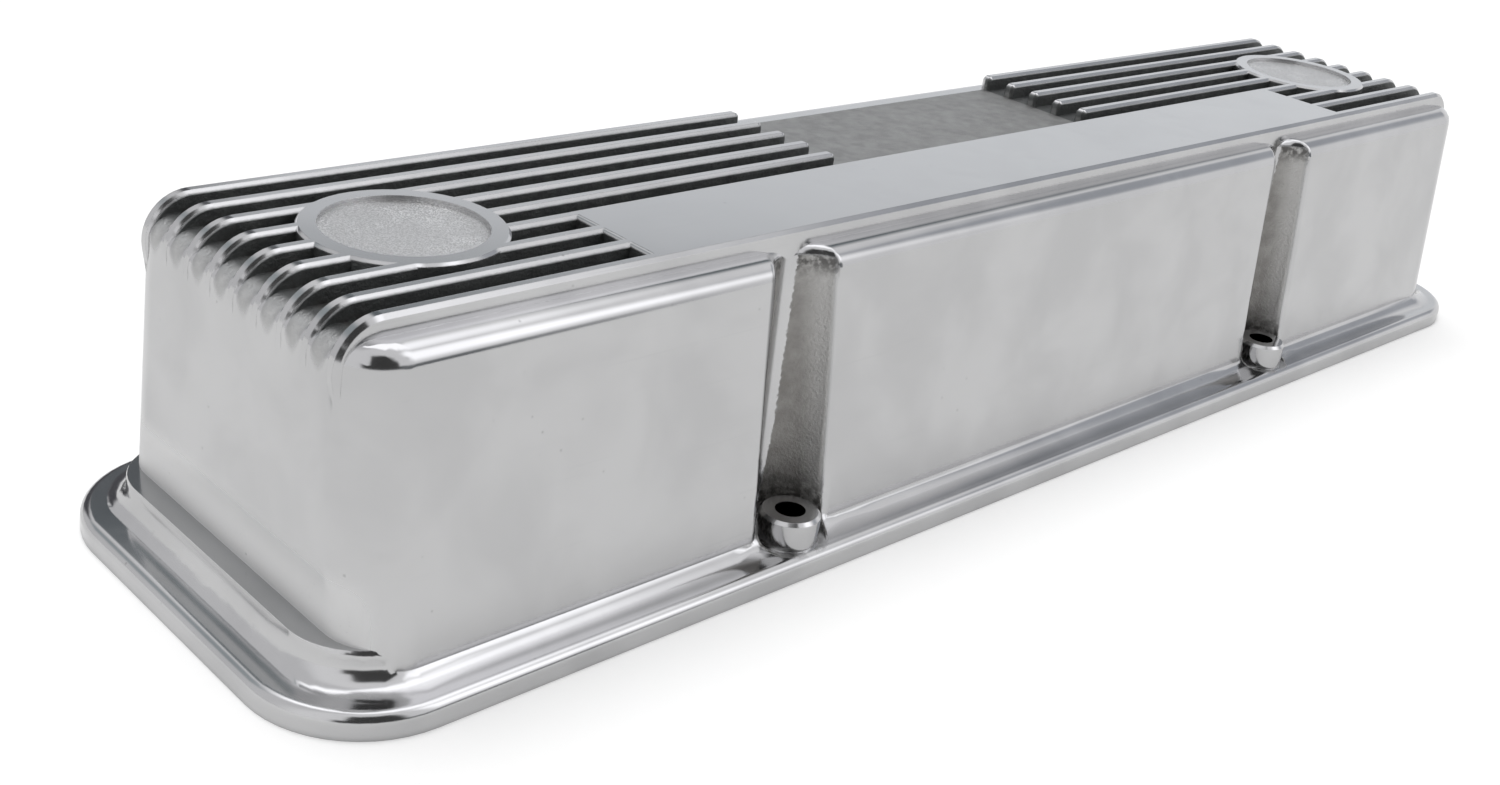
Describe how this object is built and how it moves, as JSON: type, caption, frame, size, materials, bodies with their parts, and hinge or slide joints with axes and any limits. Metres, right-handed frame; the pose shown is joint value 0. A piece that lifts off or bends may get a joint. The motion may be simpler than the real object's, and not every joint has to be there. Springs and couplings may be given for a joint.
{
  "type": "engine valve cover",
  "caption": "Hollow cast aluminium engine valve cover with a finned top, round end pads, a flat plate, side panels parted by wrench scoops, and a flat gasket flange.",
  "frame": {"origin": "middle of the gasket face, which is the underside of the flange", "axes": "+X along the cover's length, +Z from the gasket face up to the fins, -Y towards the side with the flat plate"},
  "size_m": [0.476, 0.1202, 0.0793],
  "materials": {
    "casting": "polished outside, as-cast in the grooves, scoops and hollow"
  },
  "bodies": {
    "root": {"cover_casting": "casting"}
  },
  "joints": []
}
